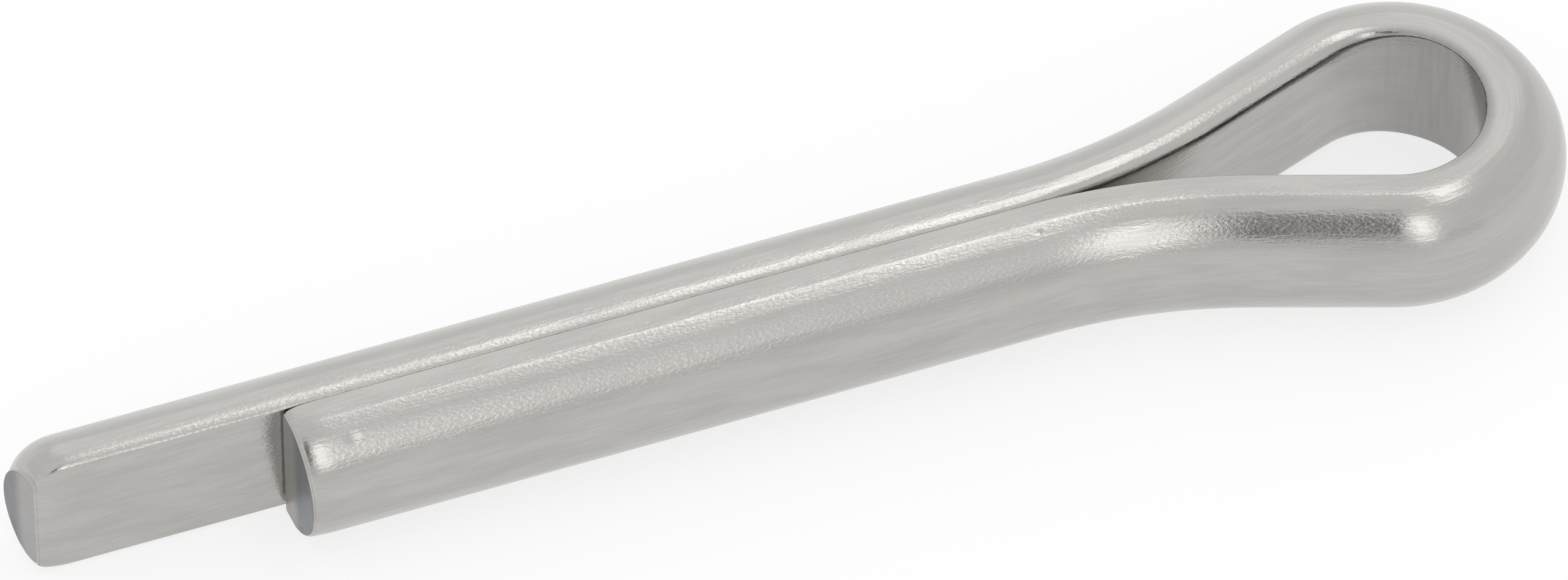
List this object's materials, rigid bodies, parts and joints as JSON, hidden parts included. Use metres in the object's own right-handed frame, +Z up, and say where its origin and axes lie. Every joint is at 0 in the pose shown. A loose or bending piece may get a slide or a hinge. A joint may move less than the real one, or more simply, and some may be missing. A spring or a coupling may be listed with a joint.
{
  "type": "cotter pin",
  "caption": "Cotter pin of bent half-round wire: a teardrop eye, an open neck and closed straight legs of unequal length.",
  "frame": {"origin": "on the axis of the closed shank, where the neck begins to open towards the eye", "axes": "-X along the shank and out past the tips of the legs, +X to the eye, +Y on the side of the long leg, +Z along the axis of the eye; the pin lies on its side with +Z up"},
  "size_m": [0.0369, 0.008, 0.0036],
  "materials": {
    "pin_steel": "satin drawn stainless steel"
  },
  "bodies": {
    "root": {"cotter_pin": "pin_steel"}
  },
  "joints": []
}
